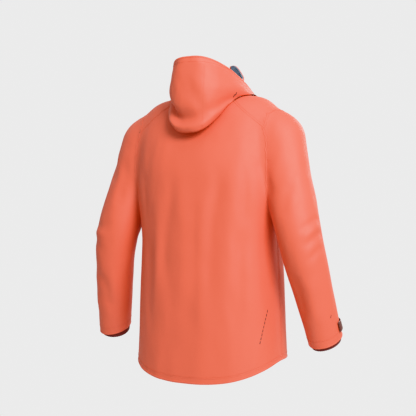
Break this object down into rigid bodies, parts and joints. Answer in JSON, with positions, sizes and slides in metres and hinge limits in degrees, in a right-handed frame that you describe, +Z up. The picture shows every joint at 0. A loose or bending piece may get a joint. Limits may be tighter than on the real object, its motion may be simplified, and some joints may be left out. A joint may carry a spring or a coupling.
{
  "type": "foul weather jacket",
  "caption": "Hooded waterproof sailing jacket with a lowered hood, standing collar, full front zip, set-in sleeves with storm cuffs, and a drop-tail hem.",
  "frame": {"origin": "centre of the neck at the height of the nape seam, where the wearer's shoulders or a hanger hold the jacket", "axes": "+Z up along the wearer, front facing -Y, wearer's left at +X"},
  "size_m": [0.7856, 0.3159, 0.9177],
  "materials": {
    "shell": "matte",
    "lining": "matte",
    "inner_cuff": "matte",
    "binding": "matte",
    "fastener": "matte",
    "tab": "matte",
    "zip": "matte",
    "slider": "satin",
    "puller": "matte"
  },
  "bodies": {
    "shell": {"back_panel": "shell", "front_panel_left": "shell", "front_panel_right": "shell", "shoulder_panel_left": "shell", "shoulder_panel_right": "shell", "hem_facing": "shell", "collar_shell": "shell", "collar_lining": "lining", "hanging_loop": "binding", "hood_base_band": "shell", "zip_tape_left": "zip", "zip_tape_right": "zip", "storm_flap": "shell", "pocket_zip_left": "zip", "pocket_bag_left": "lining", "hem_lock_left": "puller", "pocket_zip_right": "zip", "pocket_bag_right": "lining", "hem_lock_right": "puller"},
    "hood": {"hood_centre_panel": "shell", "hood_side_left": "shell", "hood_side_right": "shell", "hood_brim": "shell"},
    "left_sleeve": {"upper_sleeve_left": "shell"},
    "left_forearm": {"lower_sleeve_left": "shell", "cuff_facing_left": "shell", "storm_cuff_left": "inner_cuff", "cuff_patch_left": "fastener"},
    "left_cuff_tab": {"cuff_tab_left": "tab"},
    "pocket_left_slider": {"pocket_left_slider": "slider"},
    "pocket_left_puller": {"pocket_left_puller": "puller"},
    "hem_lock_button_left": {"hem_lock_button_left": "puller"},
    "right_sleeve": {"upper_sleeve_right": "shell"},
    "right_forearm": {"lower_sleeve_right": "shell", "cuff_facing_right": "shell", "storm_cuff_right": "inner_cuff", "cuff_patch_right": "fastener"},
    "right_cuff_tab": {"cuff_tab_right": "tab"},
    "pocket_right_slider": {"pocket_right_slider": "slider"},
    "pocket_right_puller": {"pocket_right_puller": "puller"},
    "hem_lock_button_right": {"hem_lock_button_right": "puller"},
    "zip_top_slider": {"zip_top_slider": "slider"},
    "zip_top_puller": {"zip_top_puller": "puller"},
    "zip_bottom_slider": {"zip_bottom_slider": "slider"},
    "zip_bottom_puller": {"zip_bottom_puller": "puller"}
  },
  "joints": [
    {"name": "left_sleeve_raise", "type": "hinge", "parent": "shell", "child": "left_sleeve", "pos_m": [0.212, 0.01, -0.11], "axis": [0, -1, 0], "range_deg": [0, 60]},
    {"name": "left_elbow_fold", "type": "hinge", "parent": "left_sleeve", "child": "left_forearm", "pos_m": [0.297, 0.056, -0.402], "axis": [-0.9357, 0.2673, -0.2303], "range_deg": [0, 60]},
    {"name": "left_cuff_tab_open", "type": "hinge", "parent": "left_forearm", "child": "left_cuff_tab", "pos_m": [0.38952, 0.00287, -0.63847], "axis": [-0.1598, 0.2606, 0.9521], "range_deg": [0, 80]},
    {"name": "right_sleeve_raise", "type": "hinge", "parent": "shell", "child": "right_sleeve", "pos_m": [-0.212, 0.01, -0.11], "axis": [0, 1, 0], "range_deg": [0, 60]},
    {"name": "right_elbow_fold", "type": "hinge", "parent": "right_sleeve", "child": "right_forearm", "pos_m": [-0.297, 0.056, -0.402], "axis": [-0.9357, -0.2673, 0.2303], "range_deg": [0, 60]},
    {"name": "right_cuff_tab_open", "type": "hinge", "parent": "right_forearm", "child": "right_cuff_tab", "pos_m": [-0.38952, 0.00287, -0.63847], "axis": [-0.1598, -0.2606, -0.9521], "range_deg": [0, 80]},
    {"name": "hood_raise", "type": "hinge", "parent": "shell", "child": "hood", "pos_m": [0, -0.045, 0.015], "axis": [1, 0, 0], "range_deg": [0, 70]},
    {"name": "zip_top_slide", "type": "slide", "parent": "shell", "child": "zip_top_slider", "axis": [0, 0.0538, 0.9986], "range_m": [-0.677, 0]},
    {"name": "zip_bottom_slide", "type": "slide", "parent": "shell", "child": "zip_bottom_slider", "axis": [0, 0.0538, 0.9986], "range_m": [0, 0.66]},
    {"name": "zip_top_puller_swing", "type": "hinge", "parent": "zip_top_slider", "child": "zip_top_puller", "pos_m": [0, -0.10891, 0.07738], "axis": [-1, 0, 0], "range_deg": [0, 120]},
    {"name": "zip_bottom_puller_swing", "type": "hinge", "parent": "zip_bottom_slider", "child": "zip_bottom_puller", "pos_m": [0, -0.14993, -0.68373], "axis": [-1, 0, 0], "range_deg": [0, 120]},
    {"name": "pocket_left_slide", "type": "slide", "parent": "shell", "child": "pocket_left_slider", "axis": [-0.1915, -0.023, 0.9812], "range_m": [-0.125, 0]},
    {"name": "pocket_left_puller_swing", "type": "hinge", "parent": "pocket_left_slider", "child": "pocket_left_puller", "pos_m": [0.12284, -0.12373, -0.48728], "axis": [-0.9092, -0.3725, -0.1861], "range_deg": [0, 120]},
    {"name": "hem_lock_left_press", "type": "slide", "parent": "shell", "child": "hem_lock_button_left", "axis": [0, 0, 1], "range_m": [-0.0035, 0], "stiffness_N_per_m": 150},
    {"name": "pocket_right_slide", "type": "slide", "parent": "shell", "child": "pocket_right_slider", "axis": [0.1915, -0.023, 0.9812], "range_m": [-0.125, 0]},
    {"name": "pocket_right_puller_swing", "type": "hinge", "parent": "pocket_right_slider", "child": "pocket_right_puller", "pos_m": [-0.12284, -0.12373, -0.48728], "axis": [-0.9092, 0.3725, 0.1861], "range_deg": [0, 120]},
    {"name": "hem_lock_right_press", "type": "slide", "parent": "shell", "child": "hem_lock_button_right", "axis": [0, 0, 1], "range_m": [-0.0035, 0], "stiffness_N_per_m": 150}
  ]
}
